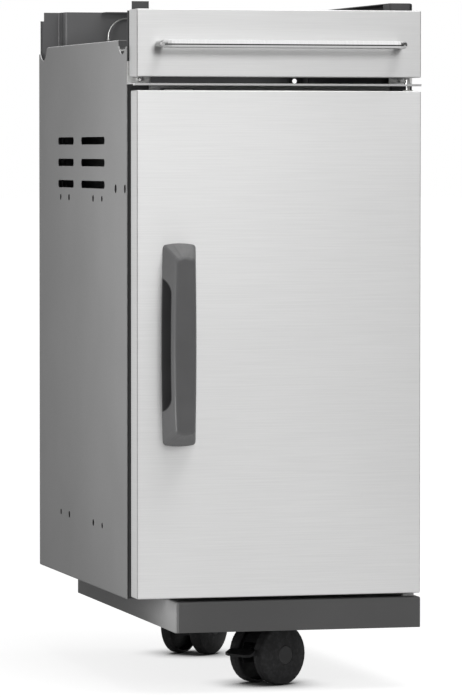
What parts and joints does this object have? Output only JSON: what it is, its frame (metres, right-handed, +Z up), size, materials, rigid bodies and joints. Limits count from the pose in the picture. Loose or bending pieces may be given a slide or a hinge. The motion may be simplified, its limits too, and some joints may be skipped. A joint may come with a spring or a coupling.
{
  "type": "grill side cabinet",
  "caption": "Tall steel side cabinet for an outdoor grill, with a hinged front door, a shallow top drawer, an offset base and swivel casters.",
  "frame": {"origin": "middle of the overall outline, on the floor", "axes": "+Z up; -Y towards the front, with the door and drawer; +X to the right as seen from the front"},
  "size_m": [0.381, 0.6212, 0.889],
  "materials": {
    "base_grey": "satin dark grey coat",
    "black_plastic": "satin moulded black",
    "dark_steel": "satin black coat",
    "grey_panel": "satin grey coat",
    "grip_plastic": "satin moulded grey",
    "nylon": "natural",
    "polished": "polished",
    "stainless": "fine satin, nearly plain",
    "zinc": "zinc plated"
  },
  "bodies": {
    "cabinet": {"left_side_panel": "grey_panel", "right_side_panel": "dark_steel", "post_front_left": "dark_steel", "post_front_right": "dark_steel", "post_rear_left": "dark_steel", "post_rear_right": "dark_steel", "back_panel": "dark_steel", "floor_panel": "dark_steel", "base_tray": "base_grey", "caster_channel_front": "dark_steel", "caster_channel_rear": "dark_steel", "divider_plate": "stainless", "front_cross_rail": "dark_steel", "hinge_pin_top": "zinc", "hinge_pin_bottom": "zinc", "hinge_block": "black_plastic", "magnetic_catch": "black_plastic", "slide_outer_left": "dark_steel", "slide_outer_right": "dark_steel", "slide_rail_left": "zinc", "slide_rail_right": "zinc", "slide_bracket_screw_left": "zinc", "slide_bracket_screw_right": "zinc", "wire_hook": "zinc", "caster_stem_front": "zinc", "caster_stem_rear": "zinc", "caster_nut_front": "zinc", "caster_nut_rear": "zinc"},
    "door": {"door_skin": "stainless", "door_liner": "dark_steel", "door_bush_top": "nylon", "door_bush_bottom": "nylon", "catch_strike": "zinc", "door_handle": "grip_plastic", "handle_pocket": "black_plastic", "door_handle_screw_top": "zinc", "door_handle_screw_bottom": "zinc"},
    "drawer": {"drawer_front": "stainless", "drawer_liner": "dark_steel", "drawer_box": "dark_steel", "drawer_handle": "polished", "drawer_handle_screw_left": "zinc", "drawer_handle_screw_right": "zinc", "slide_inner_left": "zinc", "slide_inner_right": "zinc"},
    "caster_front": {"caster_housing_front": "black_plastic", "axle_front": "zinc", "pedal_pin_front": "zinc"},
    "caster_rear": {"caster_housing_rear": "black_plastic", "axle_rear": "zinc"},
    "wheel_front_left": {"wheel_front_left": "black_plastic", "hub_cap_front_left": "black_plastic"},
    "wheel_front_right": {"wheel_front_right": "black_plastic", "hub_cap_front_right": "black_plastic"},
    "wheel_rear_left": {"wheel_rear_left": "black_plastic", "hub_cap_rear_left": "black_plastic"},
    "wheel_rear_right": {"wheel_rear_right": "black_plastic", "hub_cap_rear_right": "black_plastic"},
    "brake_pedal": {"brake_pedal_front": "black_plastic"}
  },
  "joints": [
    {"name": "door_hinge", "type": "hinge", "parent": "cabinet", "child": "door", "pos_m": [0.177, -0.24835, 0.45], "axis": [0, 0, 1], "range_deg": [0, 110]},
    {"name": "drawer_slide", "type": "slide", "parent": "cabinet", "child": "drawer", "axis": [0, -1, 0], "range_m": [0, 0.3]},
    {"name": "caster_swivel_front", "type": "hinge", "parent": "cabinet", "child": "caster_front", "pos_m": [0.02975, -0.15285, 0.09], "axis": [0, 0, 1], "continuous": true},
    {"name": "wheel_spin_front_left", "type": "hinge", "parent": "caster_front", "child": "wheel_front_left", "pos_m": [0.00072, -0.1413, 0.04], "axis": [-0.4772, 0.8788, 0], "continuous": true},
    {"name": "wheel_spin_front_right", "type": "hinge", "parent": "caster_front", "child": "wheel_front_right", "pos_m": [0.02363, -0.18349, 0.04], "axis": [-0.4772, 0.8788, 0], "continuous": true},
    {"name": "brake_pedal_press", "type": "hinge", "parent": "caster_front", "child": "brake_pedal", "pos_m": [-0.0098, -0.17432, 0.047], "axis": [0.4772, -0.8788, 0], "range_deg": [0, 18]},
    {"name": "caster_swivel_rear", "type": "hinge", "parent": "cabinet", "child": "caster_rear", "pos_m": [0.02325, 0.23265, 0.09], "axis": [0, 0, 1], "continuous": true},
    {"name": "wheel_spin_rear_left", "type": "hinge", "parent": "caster_rear", "child": "wheel_rear_left", "pos_m": [-0.00781, 0.23602, 0.04], "axis": [-0.6947, 0.7193, 0], "continuous": true},
    {"name": "wheel_spin_rear_right", "type": "hinge", "parent": "caster_rear", "child": "wheel_rear_right", "pos_m": [0.02553, 0.20149, 0.04], "axis": [-0.6947, 0.7193, 0], "continuous": true}
  ]
}
